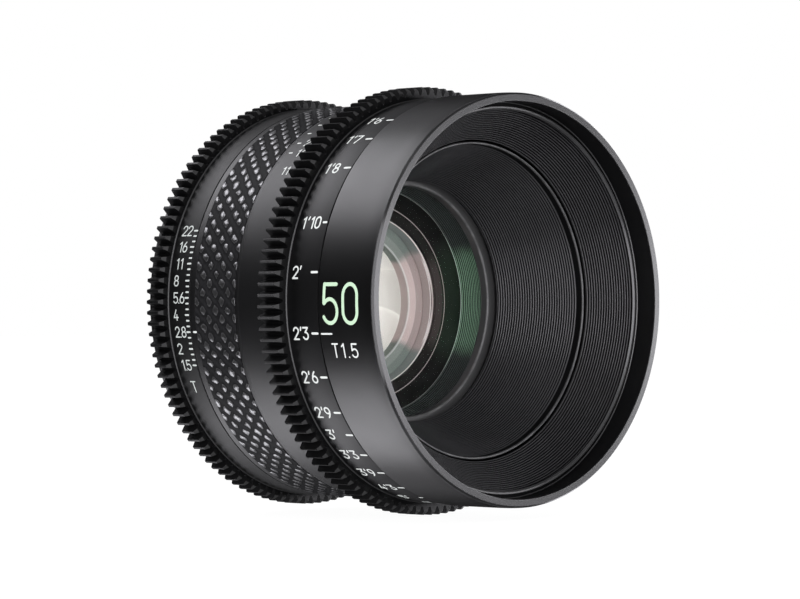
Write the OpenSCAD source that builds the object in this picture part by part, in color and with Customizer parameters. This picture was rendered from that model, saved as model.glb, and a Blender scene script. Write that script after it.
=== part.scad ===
// Cinema prime lens, unit focusing, with geared focus and aperture rings.
// Millimetres. The optical axis runs along Y with the front towards -Y, Z is up,
// and the origin is the centre of the rear mount seat.
// Lengths along the axis are given as s, the distance behind the front rim.

/* [Overall] */
// Distance from the front rim to the mount seat
total_len = 88; // [88:0.5:90]

/* [Front barrel] */
// Outside diameter of the front barrel, the clamp-on accessory size
front_d = 95; // [94.9:0.1:95.2]
// Width of the flat rim with its bevels
rim_w = 2.05; // [1.95:0.05:2.15]
// Ribs on the fixed front baffle
front_ribs = 18; // [12:1:24]
// Ribs on the moving inner baffle
inner_ribs = 32; // [20:1:36]
// Ribs on the spacer behind the front glass
spacer_ribs = 12; // [8:1:16]

/* [Focus ring] */
// Diameter of the focus scale ring
focus_scale_d = 94; // [93.6:0.1:94]
// Teeth on the focus gear
focus_teeth = 123; // [122:1:124]
// Gear module of both drive rings
gear_module = 0.8; // [0.79:0.005:0.8]
// Chamfer on both ends of the gear teeth
tooth_chamfer = 0.6; // [0.3:0.1:0.8]
// Turn from rest to the close focus stop, degrees
focus_near = 79; // [70:1:79]
// Turn from rest to the infinity stop, degrees
focus_far = 121; // [110:1:121]
// Travel of the optics over the whole focus turn
focus_travel = 7.1; // [7:0.05:7.1]

/* [Middle barrel] */
// Diameter of the smooth fixed band
band_d = 93.2; // [92.8:0.1:93.4]
// Outside diameter of the woven sleeve
carbon_d = 93; // [92.6:0.1:93.2]

/* [Aperture] */
// Diameter of the aperture scale ring
iris_scale_d = 92.7; // [92.4:0.1:93]
// Teeth on the aperture gear
iris_teeth = 120; // [119:1:121]
// Turn from rest to fully open, degrees
iris_open = 10.1; // [9.5:0.1:10.1]
// Turn from rest to fully closed, degrees
iris_close = 30.7; // [29:0.1:30.7]
// Thickness of one aperture blade
blade_t = 0.05; // [0.04:0.01:0.06]

/* [Mount] */
// Diameter of the locating register behind the seat
register_d = 54; // [53.9:0.02:54]
// Diameter over the four lugs
lug_d = 68; // [67:0.5:69]
// Width of each of the four gaps between lugs, degrees
lug_gap = 32; // [28:1:36]
// Clear diameter through the mount
throat_d = 49.2; // [49:0.1:49.6]

/* [Hidden] */
$fn = 96;
blade_n = 11;

front_r = front_d / 2;
rim_r = front_r - rim_w;
scale_r = focus_scale_d / 2;
band_r = band_d / 2;
carbon_r = carbon_d / 2;
iris_r = iris_scale_d / 2;
focus_turn = focus_near + focus_far;
lead = focus_travel / focus_turn;      // optics travel for each degree of focus turn

// stations along the axis
s_front_end = 17.35;    // rear end of the front barrel
s_focus = 17.75;        // front end of the focus ring
s_fgear = 28.4;         // front face of the focus gear
s_focus_end = 34.9;     // rear face of the focus gear
s_band = 35.2;          // front end of the fixed band
s_groove = 45.1;        // start of the shallow bevel down to the woven sleeve
s_carbon = 46.4;        // front end of the woven sleeve
s_lip = 60.2;           // rear end of the woven sleeve
s_mid_end = 62.1;       // rear end of the middle barrel
s_iris = 62.4;          // front end of the aperture ring
s_igear = 69.7;         // front face of the aperture gear
s_iris_end = 74.7;      // rear face of the aperture gear
s_rear = 76.3;          // rear face of the rear barrel

// radii of the nested sleeves
guide_ri = 39.3;
guide_ro = 41.2;
cam_ri = 41.25;
cam_ro = 43.2;
hub_ro = 44.95;
journal_r = 43.4;

// cam followers
fol_s = 47;
fol_r = 1.1;
fol_psi = [30, 150, 270];

// aperture
iris_turn = iris_open + iris_close;
stop_psi = 255;         // place of the aperture end-stop screw
pin_psi = 80;           // place of the aperture drive pin at rest
pin_s = 67.2;
pin_r = 1.3;
piv_r = 25;             // blade pivot circle
bl_ri = 13.2;           // blade inner edge when open
bl_ro = 27.2;
bl_a0 = -4;             // ends of a blade, degrees round the axis when open
bl_a1 = 103;
drv_a = 98;             // place of the driving pin
blade_swing = 27.8;     // blade turn over the whole aperture turn
blade_ratio = blade_swing / iris_turn;
blade_rest = iris_open * blade_ratio;
tilt_k = 0.11;          // slope of a blade, so that the blades lie over one another
tilt = atan(tilt_k);
g_a = 180;              // direction of the slope
bl_s = 62.3;            // where the blade planes meet the axis
cam_s0 = 64.1;
cam_s1 = 65.4;
house_s = 65.7;         // rear face of the aperture housing
blpin_r = 0.7;

// --- helpers ---
module ax() { rotate([90, 0, 0]) children(); }
// ring of revolution from [radius, s] points
module rev(p) { ax() rotate_extrude() polygon([for (q = p) [q[0], total_len - q[1]]]); }
module tube(r0, r1, s0, s1) { rev([[r0, s0], [r1, s0], [r1, s1], [r0, s1]]); }
// sector of a tube, from angle a for w degrees
module sector(r0, r1, s0, s1, a, w) {
  ax() rotate([0, 0, a]) rotate_extrude(angle = w)
    polygon([[r0, total_len - s1], [r1, total_len - s1], [r1, total_len - s0], [r0, total_len - s0]]);
}
// round bar along a radius
module radial(psi, s, r0, r1, r) {
  ax() rotate([0, 0, psi]) translate([r0, 0, total_len - s]) rotate([0, 90, 0])
    cylinder(r = r, h = r1 - r0);
}
// round bar along the axis
module axial(psi, rc, s0, s1, r) {
  ax() rotate([0, 0, psi]) translate([rc, 0, total_len - s1]) cylinder(r = r, h = s1 - s0);
}
// screw along the axis, head from h0 to h1, shank from h1 to s1
module cap_screw(psi, rc, h0, h1, s1, rh, rs) {
  difference() {
    union() { axial(psi, rc, min(h0, h1), max(h0, h1), rh);
              axial(psi, rc, min(h1, s1), max(h1, s1), rs); }
    ax() rotate([0, 0, psi]) translate([rc, 0, total_len - h0]) cylinder(r = rh * 0.55, h = rh * 0.9, center = true, $fn = 6);
  }
}
// outline of a gear with straight flanks
function gear_pts(n) = [for (i = [0 : n - 1], k = [0 : 3])
  let (rp = gear_module * n / 2, rt = rp + gear_module, rr = rp - 1.25 * gear_module,
       wt = 0.46, wr = 0.9,
       r = (k == 0 || k == 3) ? rr : rt,
       w = (k == 0) ? -wr / rr : (k == 1) ? -wt / rt : (k == 2) ? wt / rt : wr / rr,
       a = 360 * i / n + w * 180 / PI)
  [r * cos(a), r * sin(a)]];
module gear_ring(n, ri, s0, s1) {
  rt = gear_module * (n + 2) / 2;
  c = tooth_chamfer;
  difference() {
    intersection() {
      ax() translate([0, 0, total_len - s1]) linear_extrude(height = s1 - s0) polygon(gear_pts(n));
      rev([[ri - 1, s0 - 0.5], [rt - c - 0.5, s0 - 0.5], [rt + 0.5, s0 + c + 0.5], [rt + 0.5, s1 - c - 0.5],
           [rt - c - 0.5, s1 + 0.5], [ri - 1, s1 + 0.5]]);
    }
    tube(0, ri, s0 - 1, s1 + 1);
  }
}
// ribbed line of a baffle from [r, s] to [r, s]
function ribs(r0, s0, r1, s1, n, d) = [for (i = [0 : n - 1], k = [0 : 1])
  let (u = (i + (k == 0 ? 0 : 0.72)) / n)
  [r0 + (r1 - r0) * u + (k == 0 ? 0 : d), s0 + (s1 - s0) * u]];
// lens between two spherical surfaces; a positive radius has its centre behind the surface
module ball(sv, rad) { ax() translate([0, 0, total_len - sv - rad]) sphere(r = abs(rad), $fn = 360); }
module lens(s1, r1, s2, r2, r, e0, e1) {
  difference() {
    intersection() {
      tube(0, r, e0, e1);
      if (r1 > 0) ball(s1, r1);
      if (r2 < 0) ball(s2, r2);
    }
    if (r1 < 0) ball(s1, r1);
    if (r2 > 0) ball(s2, r2);
  }
}

// --- fixed body ---
module front_barrel() { color("#151516") difference() {
  rev([[rim_r + 0.15, 0], [front_r - 0.55, 0], [front_r, 0.55], [front_r, s_front_end - 0.2],
       [front_r - 0.2, s_front_end], [guide_ro, s_front_end], [guide_ro, 13.6], [43.7, 13.6],
       [43.7, 8.2], [rim_r, 8.2], [rim_r, 0.15]]);
  for (i = [0 : 5]) axial(60 * i, 42.3, 13, 16.5, 0.6);
} }
module baffle_retainer() { color("#202021")
  rev([[43.4, 5.35], [43.55, 5.2], [44.05, 5.2], [44.2, 5.35], [44.2, 6.2], [44.85, 6.2],
       [rim_r, 5.6], [rim_r, 7], [43.4, 7]]); }
module front_baffle() { color("#0c0c0d")
  rev(concat([[rim_r, 7], [rim_r, 8.2], [43.65, 8.2], [38.6, 14.4], [37.05, 14.4]],
    ribs(37.05, 14.3, 43.6, 7, front_ribs, 0.32), [[43.9, 7]])); }
module guide_barrel() { color("#8d8f92") difference() {
  rev([[40.6, 12.2], [43.4, 12.2], [43.4, 13.6], [guide_ro, 13.6], [guide_ro, 61.4],
       [guide_ri, 61.4], [guide_ri, 14.2], [40.6, 13.2]]);
  for (i = [0 : 5]) axial(60 * i, 42.3, 12, 14, 0.6);
  // straight slots that keep the followers from turning
  for (p = fol_psi) {
    fs0 = fol_s - focus_near * lead; fs1 = fol_s + focus_far * lead;
    radial(p, fs0, 38, 42, fol_r + 0.06);
    radial(p, fs1, 38, 42, fol_r + 0.06);
    ax() rotate([0, 0, p]) translate([38, -fol_r - 0.06, total_len - fs1]) cube([4, 2 * fol_r + 0.12, fs1 - fs0]);
  }
  radial(200, 22, 38, 42, 1.2);
} }
module front_barrel_screws() { color("#77797c")
  for (i = [0 : 5]) cap_screw(60 * i, 42.3, 11.4, 12.2, 16.4, 0.95, 0.6); }
module middle_barrel() { color("#171718") difference() {
  rev([[43.6, s_band], [band_r - 0.25, s_band], [band_r, s_band + 0.25], [band_r, s_groove - 0.1],
       [carbon_r - 0.15, s_carbon], [45.45, s_carbon],
       [45.45, s_lip], [iris_r + 0.05 - 0.15, s_lip], [iris_r + 0.05, s_lip + 0.15],
       [iris_r + 0.05, s_mid_end - 0.15], [iris_r - 0.1, s_mid_end], [journal_r, s_mid_end],
       [journal_r, 61.4], [guide_ro, 61.4], [guide_ro, 57.5], [43.6, 57.5]]);
  for (i = [0 : 5]) axial(60 * i, 42.2, 58.4, 62, 0.6);
} }
module carbon_sleeve() { color("#2b2b2d")
  rev([[45.45, s_carbon], [carbon_r - 0.12, s_carbon], [carbon_r, s_carbon + 0.12],
       [carbon_r, s_lip - 0.12], [carbon_r - 0.12, s_lip], [45.45, s_lip]]); }
module rear_barrel() { color("#1b1b1c") difference() {
  rev([[guide_ri, 61.4], [journal_r, 61.4], [journal_r, s_rear], [34.8, s_rear], [34.8, 73.8], [guide_ri, 73.8]]);
  for (i = [0 : 5]) {
    axial(60 * i, 42.2, 61, 67.5, 0.6);
    axial(60 * i, 42.2, 66, 77, 0.95);
    axial(60 * i + 30, 42.4, 71.8, 77, 0.55);
    axial(60 * i + 30, 37.6, 74.2, 77, 1);
  }
  // window for the aperture drive pin
  sector(38, 44, pin_s - pin_r - 0.4, pin_s + pin_r + 0.4, pin_psi - iris_open - 3.2, iris_turn + 6.4);
  radial(stop_psi, 71.5, 41, 44, 0.9);
} }
module barrel_screws() { color("#77797c")
  for (i = [0 : 5]) cap_screw(60 * i, 42.2, 67.2, 66, 58.5, 0.9, 0.6); }
module rear_cap_ring() { color("#161617") difference() {
  rev([[journal_r, 75], [45.3, 75], [45.6, 75.3], [45.6, 77.1], [45.1, 77.6], [41.3, 77.6], [41.3, s_rear], [journal_r, s_rear]]);
  for (i = [0 : 5]) {
    axial(60 * i + 30, 42.4, 76, 78, 0.55);
    axial(60 * i + 30, 42.4, 76.9, 78, 1.0);
  }
} }
module rear_cap_screws() { color("#77797c")
  for (i = [0 : 5]) cap_screw(60 * i + 30, 42.4, 77.5, 76.9, 72, 0.95, 0.55); }
module mount_shim() { color("#b08d4a") difference() {
  tube(35, 41, s_rear, 76.5);
  for (i = [0 : 5]) axial(60 * i + 30, 37.6, 76, 77, 1.15);
} }
module lens_mount() { color("#c3c6c9") difference() {
  union() {
    rev([[throat_d / 2, 76.5], [41, 76.5], [41, 77.7], [40.7, 78], [29.9, 78], [29.9, total_len - 0.4],
         [29.5, total_len], [register_d / 2, total_len], [register_d / 2, total_len + 4], [register_d / 2 - 0.6, total_len + 4.6],
         [throat_d / 2, total_len + 4.6]]);
    // four lugs
    for (i = [0 : 3]) sector(29, lug_d / 2, total_len - 3.8, total_len, 90 * i + lug_gap / 2 + 45, 90 - lug_gap);
  }
  // key slot in one lug
  ax() translate([31, -2, -1]) cube([6, 4, 6]);
  for (i = [0 : 5]) axial(60 * i + 30, 37.6, 76, 79, 1.15);
} }
module mount_screws() { color("#b9bcc0")
  for (i = [0 : 5]) cap_screw(60 * i + 30, 37.6, 79.3, 78, 74.3, 1.9, 1); }
module focus_stop_screw() { color("#77797c") radial(200, 22, 39.5, 43.1, 1.2); }
module iris_stop_screw() { color("#77797c") radial(stop_psi, 71.5, 41, 44.3, 0.9); }

// --- focus ring body ---
module focus_ring() { color("#161617") difference() {
  tube(cam_ro, hub_ro, s_focus, s_focus_end);
  for (p = [90, 210, 330]) radial(p, 31, 42, 46, 1);
} }
module focus_scale_ring() { color("#151516")
  rev([[hub_ro, s_focus], [scale_r - 0.2, s_focus], [scale_r, s_focus + 0.2], [scale_r, s_fgear - 0.35],
       [scale_r - 0.35, s_fgear], [hub_ro, s_fgear]]); }
module focus_gear() { color("#121213") gear_ring(focus_teeth, hub_ro, s_fgear, s_focus_end); }
// helical slot cutter: flat arcs set end to end, each tipped to the lead of the helix
module helix_slot(psi) {
  m = 2.0; w = fol_r + 0.16; n = 4;
  half = (focus_turn + 2 * m) / n / 2;
  slope = asin(lead * half / (42.2 * sin(half)));
  for (i = [0 : n - 1]) {
    a = -focus_near - m + (2 * i + 1) * half;
    ax() rotate([0, 0, psi + a]) translate([0, 0, total_len - fol_s - a * lead])
      rotate([-slope, 0, 0]) rotate([0, 0, -half - 0.05]) rotate_extrude(angle = 2 * half + 0.1)
        polygon([[40.5, -w], [44, -w], [44, w], [40.5, w]]);
  }
}
module focus_cam_sleeve() { color("#a7a9ab") difference() {
  tube(cam_ri, cam_ro, 20, 57.2);
  for (p = fol_psi) helix_slot(p);
  // end-stop notch in the front edge
  sector(40, 44, 19, 23.6, 200 - focus_near - 2, focus_turn + 4);
  for (p = [90, 210, 330]) radial(p, 31, 42, 46, 1);
} }
module focus_drive_screws() { color("#77797c") for (p = [90, 210, 330]) radial(p, 31, 42, 44.85, 1); }

// --- optics carriage ---
module focus_carriage() { color("#9a9c9f") difference() {
  rev([[34.5, 37], [38.9, 37], [38.9, 39], [39.25, 39.3], [39.25, 43.5], [38.9, 43.8], [38.9, 52.5],
       [39.25, 52.8], [39.25, 57], [38.9, 57.3], [38.9, 60.2], [34.5, 60.2], [34.5, 58], [24, 58], [24, 56.9], [34.5, 56.9]]);
  for (p = fol_psi) radial(p, fol_s, 36, 42, fol_r);
  for (i = [0 : 5]) axial(60 * i, 36.8, 36, 40, 0.6);
  for (i = [0 : 5]) axial(60 * i + 15, 33.3, 57.1, 59, 0.5);
} }
module cam_followers() { color("#c9a860") for (p = fol_psi) radial(p, fol_s, 36, 43.1, fol_r); }
module front_cell() { color("#1a1a1b") difference() {
  rev([[30.4, 35], [38.5, 35], [38.5, 37], [34.4, 37], [34.4, 56.8], [23.8, 56.8], [23.8, 57.8],
       [17.2, 57.8], [17.2, 56.65], [25.25, 56.65], [25.25, 50.65], [29.65, 44.75], [29.65, 41], [30.4, 41]]);
  for (i = [0 : 5]) axial(60 * i, 36.8, 34, 38, 0.6);
} }
module front_cell_screws() { color("#77797c")
  for (i = [0 : 5]) cap_screw(60 * i, 36.8, 34.2, 35, 39.8, 1, 0.6); }
module inner_baffle() { color("#0c0c0d")
  rev(concat([[36.72, 14.87], [36.72, 18], [30.2, 34.2], [33.2, 34.2], [33.2, 35], [30.4, 35], [30.4, 36.8],
    [28.9, 36.8], [28.9, 35.45], [28.2, 35.45]],
    ribs(28.2, 35.3, 36, 16.8, inner_ribs, 0.24), [[36.12, 16.7], [36.12, 14.85], [36.27, 14.7], [36.55, 14.7]])); }
module front_retainer() { color("#242425")
  rev([[27.2, 37.8], [27.4, 37.6], [30.4, 37.6], [30.4, 40.9], [29.7, 40.55], [29.55, 40.55], [27.2, 39.83]]); }
module lens_1() { color("#7f9a86") lens(35.9, 95, 43, 400, 29.6, 35, 46); }
module lens_spacer_front() { color("#101011")
  rev(concat([[29.6, 44.15], [29.6, 44.7], [25.2, 50.55], [25.2, 50.1], [24.9, 49.97]],
    ribs(24.9, 49.85, 28.8, 44.25, spacer_ribs, 0.18), [[28.8, 44.15]])); }
module lens_2() { color("#8fa4a0") lens(44.7, 60, 51.8, 200, 25.2, 44, 54); }
module lens_3() { color("#93a39a") lens(51.82, 200, 53.5, 48, 25.2, 51, 56.62); }
module iris_housing() { color("#1d1d1e") difference() {
  rev([[13.5, 58], [34.4, 58], [34.4, 59.1], [32, 59.1], [32, house_s], [29.45, house_s], [29.45, 59.1], [13.5, 59.1]]);
  for (i = [0 : blade_n - 1]) axial(360 / blade_n * i, piv_r, 57, 60, blpin_r + 0.3);
  sector(29, 33, cam_s0 - 0.3, 66, pin_psi - iris_open - 9.5, iris_turn + 19);
  for (i = [0 : 5]) axial(60 * i + 15, 33.3, 57, 60, 0.5);
  for (i = [0 : 2]) axial(120 * i, 30.7, 61, 66, 0.5);
} }
module iris_housing_screws() { color("#77797c")
  for (i = [0 : 5]) cap_screw(60 * i + 15, 33.3, 59.9, 59.1, 57.2, 0.8, 0.5); }
module rear_cell() { color("#1a1a1b") difference() {
  rev([[16.6, 66.5], [28, 66.5], [28, house_s], [32, house_s], [32, 67.8], [23.9, 67.8], [23.9, 95.6], [23.3, 96.2], [20.4, 96.2], [20.4, 93.55],
       [18.6, 93.55], [18.6, 76.6], [17.6, 76.6], [17.6, 66.95], [16.6, 66.95]]);
  sector(29.6, 33, 65, 69, pin_psi - iris_open - 9.5, iris_turn + 19);
  for (i = [0 : 2]) axial(120 * i, 30.7, 65, 69, 0.5);
} }
module rear_cell_screws() { color("#77797c")
  for (i = [0 : 2]) cap_screw(120 * i, 30.7, 68.6, 67.8, 61.2, 0.9, 0.5); }
module lens_4() { color("#8fa4a0") lens(70.8, -34, 72.3, 75, 17.55, 67, 75); }
module lens_5() { color("#93a39a") lens(72.32, 75, 80.3, -42, 17.55, 72, 81); }
module lens_spacer_rear() { color("#101011")
  rev([[15.6, 78.6], [17.4, 76.9], [18.5, 76.9], [18.5, 82.4], [16.5, 82.05], [16.5, 81.5], [15.6, 81.5]]); }
module lens_6() { color("#8fa4a0") lens(80.9, 110, 87.9, -48, 18.55, 80, 88.5); }
module lens_7() { color("#93a39a") lens(91, -60, 93.2, 300, 18.55, 87, 93.5); }
module rear_retainer() { color("#202021")
  rev([[17.4, 94.6], [17.4, 93.75], [18.6, 93.75], [18.6, 93.55], [20.4, 93.55], [20.4, 95.6], [18.4, 95.6]]); }

// --- aperture ring body ---
module iris_ring() { color("#161617") difference() {
  rev([[43.45, s_iris], [iris_r - 0.15, s_iris], [iris_r, s_iris + 0.15], [iris_r, s_igear - 0.3],
       [iris_r - 0.3, s_igear], [45, s_igear], [45, s_iris_end], [43.45, s_iris_end]]);
  radial(pin_psi, pin_s, 42, 45.4, pin_r);
  // end-stop groove
  sector(43, 44.55, 70.3, 72.7, stop_psi - iris_close - 1.6, iris_turn + 3.2);
} }
module iris_gear() { color("#121213") gear_ring(iris_teeth, 45, s_igear, s_iris_end); }
module iris_drive_pin() { color("#c9a860") radial(pin_psi, pin_s, 32.8, 45.4, pin_r); }

// --- aperture cam and blades ---
G = [cos(g_a), sin(g_a)];
// place of the driving pin in the plane of the cam ring when the blade has turned by d
function drive_xy(d) = let (
  v0 = [piv_r * cos(drv_a) - piv_r, piv_r * sin(drv_a)],
  v = [v0[0] * cos(d) - v0[1] * sin(d), v0[0] * sin(d) + v0[1] * cos(d)],
  vg = v * G,
  h = tilt_k * piv_r * cos(g_a) + vg * sin(tilt),
  l = ((cam_s0 + cam_s1) / 2 - bl_s - h) / cos(tilt))
  [piv_r, 0] + v - G * (vg * (1 - cos(tilt)) + sin(tilt) * l);
function turn2(p, a) = [p[0] * cos(a) - p[1] * sin(a), p[0] * sin(a) + p[1] * cos(a)];
// the same point seen by the cam ring, which has turned by t from fully open
function slot_xy(t) = turn2(drive_xy(t * blade_ratio), -(t - iris_open));
slot_w = blpin_r + 0.25;
// direction of the slot at t, and a point w to the side and f ahead of it
function slot_dir(t) = let (d = slot_xy(t + 0.01) - slot_xy(t - 0.01)) d / norm(d);
function slot_off(t, w, f) = let (d = slot_dir(t)) slot_xy(t) + w * [-d[1], d[0]] + f * d;
slot_n = 8;
slot_step = iris_turn / slot_n;
module cam_slot() {
  linear_extrude(height = 4, center = true) polygon(concat(
    [for (i = [0 : slot_n]) slot_off(i * slot_step, slot_w, 0)],
    [for (k = [1 : 5]) slot_off(iris_turn, slot_w * cos(30 * k), slot_w * sin(30 * k))],
    [for (i = [slot_n : -1 : 0]) slot_off(i * slot_step, -slot_w, 0)],
    [for (k = [1 : 5]) slot_off(0, -slot_w * cos(30 * k), -slot_w * sin(30 * k))]));
}
module iris_cam_ring() { color("#b9bbbd") difference() {
  union() {
    tube(13.4, 29.4, cam_s0, cam_s1);
    sector(28.5, 34.4, cam_s0, cam_s1, pin_psi - 7, 14);
    sector(32.4, 34.4, 60.6, 71.6, pin_psi - 7, 14);
  }
  for (i = [0 : blade_n - 1]) ax() translate([0, 0, total_len - (cam_s0 + cam_s1) / 2])
    rotate([0, 0, 360 / blade_n * i]) cam_slot();
  // open fork that slides along the drive pin
  ax() rotate([0, 0, pin_psi]) translate([31, -pin_r - 0.1, total_len - 73]) cube([5, 2 * pin_r + 0.2, 73 - 61.2]);
} }
module iris_blade(i) { color("#2a2a2c")
  ax() rotate([0, 0, 360 / blade_n * (i - 1)])
    translate([piv_r, 0, total_len - bl_s - tilt_k * piv_r * cos(g_a)])
    rotate(a = tilt, v = [cos(g_a + 90), sin(g_a + 90), 0])
    rotate([0, 0, blade_rest]) {
      translate([-piv_r, 0, 0]) difference() {
        rotate([0, 0, bl_a0]) rotate_extrude(angle = bl_a1 - bl_a0)
          polygon([[bl_ri, -blade_t / 2], [bl_ro, -blade_t / 2], [bl_ro, blade_t / 2], [bl_ri, blade_t / 2]]);
        // the inner corners are rounded away so that the blades pass one another
        rotate([0, 0, bl_a0]) translate([bl_ri, 0, -1]) cylinder(r = 8.5, h = 2);
        rotate([0, 0, bl_a1]) translate([bl_ri, 0, -1]) cylinder(r = 6, h = 2);
      }
      cylinder(r = blpin_r, h = 1.4);
      translate([piv_r * cos(drv_a) - piv_r, piv_r * sin(drv_a), -2.35]) cylinder(r = blpin_r, h = 2.35);
    }
}

front_barrel();
baffle_retainer();
front_baffle();
guide_barrel();
front_barrel_screws();
middle_barrel();
carbon_sleeve();
rear_barrel();
barrel_screws();
rear_cap_ring();
rear_cap_screws();
mount_shim();
lens_mount();
mount_screws();
focus_stop_screw();
iris_stop_screw();
focus_ring();
focus_scale_ring();
focus_gear();
focus_cam_sleeve();
focus_drive_screws();
focus_carriage();
cam_followers();
front_cell();
front_cell_screws();
inner_baffle();
front_retainer();
lens_1();
lens_spacer_front();
lens_2();
lens_3();
iris_housing();
iris_housing_screws();
rear_cell();
rear_cell_screws();
lens_4();
lens_5();
lens_spacer_rear();
lens_6();
lens_7();
rear_retainer();
iris_ring();
iris_gear();
iris_drive_pin();
iris_cam_ring();
iris_blade(1);  // iris_blade_01
iris_blade(2);  // iris_blade_02
iris_blade(3);  // iris_blade_03
iris_blade(4);  // iris_blade_04
iris_blade(5);  // iris_blade_05
iris_blade(6);  // iris_blade_06
iris_blade(7);  // iris_blade_07
iris_blade(8);  // iris_blade_08
iris_blade(9);  // iris_blade_09
iris_blade(10);  // iris_blade_10
iris_blade(11);  // iris_blade_11
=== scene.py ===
import bpy
import math
from mathutils import Matrix, Vector


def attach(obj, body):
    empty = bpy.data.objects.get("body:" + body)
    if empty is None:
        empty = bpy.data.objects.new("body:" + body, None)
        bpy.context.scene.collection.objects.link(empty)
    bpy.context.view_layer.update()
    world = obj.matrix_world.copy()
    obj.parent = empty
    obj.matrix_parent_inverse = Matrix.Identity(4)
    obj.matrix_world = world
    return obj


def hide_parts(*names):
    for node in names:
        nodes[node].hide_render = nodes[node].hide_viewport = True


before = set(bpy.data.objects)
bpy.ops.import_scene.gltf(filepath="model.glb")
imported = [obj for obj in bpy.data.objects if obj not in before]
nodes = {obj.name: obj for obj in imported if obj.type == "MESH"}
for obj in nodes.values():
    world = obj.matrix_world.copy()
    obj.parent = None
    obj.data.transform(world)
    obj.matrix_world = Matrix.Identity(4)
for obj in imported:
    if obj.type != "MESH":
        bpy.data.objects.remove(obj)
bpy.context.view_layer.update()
scene = bpy.context.scene

# Lengths below are in millimetres behind the front rim (s) and from the optical
# axis (r); angles run round the axis, 180 on the side with the scales, 90 on top.
FRONT_Y = -88.0
MM = 0.001


def at(r, s, deg):
    a = math.radians(deg)
    return (r * math.cos(a) * MM, (FRONT_Y + s) * MM, r * math.sin(a) * MM)


# ---------------------------------------------------------------- camera
cam_data = bpy.data.cameras.new("camera")
cam = bpy.data.objects.new("camera", cam_data)
scene.collection.objects.link(cam)
cam_data.sensor_fit = "HORIZONTAL"
cam_data.sensor_width = 36.0
cam_data.lens = 162.0
cam_data.clip_start = 0.01
cam_data.clip_end = 50.0
right = Vector((0.7152, -0.6989, -0.00415)).normalized()
forward = Vector((0.6989, 0.7152, 0.00424)).normalized()
up = right.cross(forward).normalized()
m = Matrix.Identity(4)
for i in range(3):
    m[i][0], m[i][1], m[i][2] = right[i], up[i], -forward[i]
m.translation = Vector((-0.59364, -0.65554, -0.00321))
cam.matrix_world = m
scene.camera = cam


# ---------------------------------------------------------------- materials
class Tree:
    def __init__(self, name):
        self.mat = bpy.data.materials.new(name)
        self.mat.use_nodes = True
        self.t = self.mat.node_tree
        self.t.nodes.clear()
        self.out = self.t.nodes.new("ShaderNodeOutputMaterial")
        self.coord = None

    def n(self, kind, **props):
        node = self.t.nodes.new(kind)
        for k, v in props.items():
            setattr(node, k, v)
        return node

    def link(self, a, b):
        self.t.links.new(a, b)

    def obj(self):
        if self.coord is None:
            self.coord = self.n("ShaderNodeTexCoord").outputs["Object"]
        return self.coord

    def math(self, op, a, b=None, c=None, clamp=False):
        node = self.n("ShaderNodeMath", operation=op, use_clamp=clamp)
        for i, v in enumerate((a, b, c)):
            if v is None:
                continue
            if isinstance(v, (int, float)):
                node.inputs[i].default_value = v
            else:
                self.link(v, node.inputs[i])
        return node.outputs[0]

    def noise(self, scale, detail=3.0, rough=0.55, vector=None, stretch=None):
        node = self.n("ShaderNodeTexNoise")
        node.inputs["Scale"].default_value = scale
        node.inputs["Detail"].default_value = detail
        node.inputs["Roughness"].default_value = rough
        src = vector or self.obj()
        if stretch is not None:
            mp = self.n("ShaderNodeMapping")
            mp.inputs["Scale"].default_value = stretch
            self.link(src, mp.inputs["Vector"])
            src = mp.outputs["Vector"]
        self.link(src, node.inputs["Vector"])
        return node.outputs["Fac"]

    def remap(self, v, a, b, c, d, smooth=False):
        node = self.n("ShaderNodeMapRange")
        if smooth:
            node.interpolation_type = "SMOOTHSTEP"
        self.link(v, node.inputs["Value"])
        for name, x in zip(("From Min", "From Max", "To Min", "To Max"), (a, b, c, d)):
            node.inputs[name].default_value = x
        return node.outputs["Result"]

    def mix(self, fac, a, b):
        node = self.n("ShaderNodeMix", data_type="RGBA")
        if isinstance(fac, (int, float)):
            node.inputs[0].default_value = fac
        else:
            self.link(fac, node.inputs[0])
        for idx, v in ((6, a), (7, b)):
            if isinstance(v, tuple):
                node.inputs[idx].default_value = (*v, 1.0)
            else:
                self.link(v, node.inputs[idx])
        return node.outputs[2]

    def bump(self, height, strength, distance, normal=None):
        node = self.n("ShaderNodeBump")
        node.inputs["Strength"].default_value = strength
        node.inputs["Distance"].default_value = distance
        self.link(height, node.inputs["Height"])
        if normal is not None:
            self.link(normal, node.inputs["Normal"])
        return node.outputs["Normal"]

    def attr(self, name):
        return self.n("ShaderNodeAttribute", attribute_name=name).outputs["Fac"]

    def principled(self, **values):
        node = self.n("ShaderNodeBsdfPrincipled")
        for k, v in values.items():
            key = k.replace("_", " ")
            sock = node.inputs[key]
            if hasattr(v, "is_output"):
                self.link(v, sock)
            elif isinstance(v, tuple) and len(v) == 3:
                sock.default_value = (*v, 1.0)
            else:
                sock.default_value = v
        return node

    def done(self, shader):
        self.link(shader.outputs[0], self.out.inputs["Surface"])
        return self.mat


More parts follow.
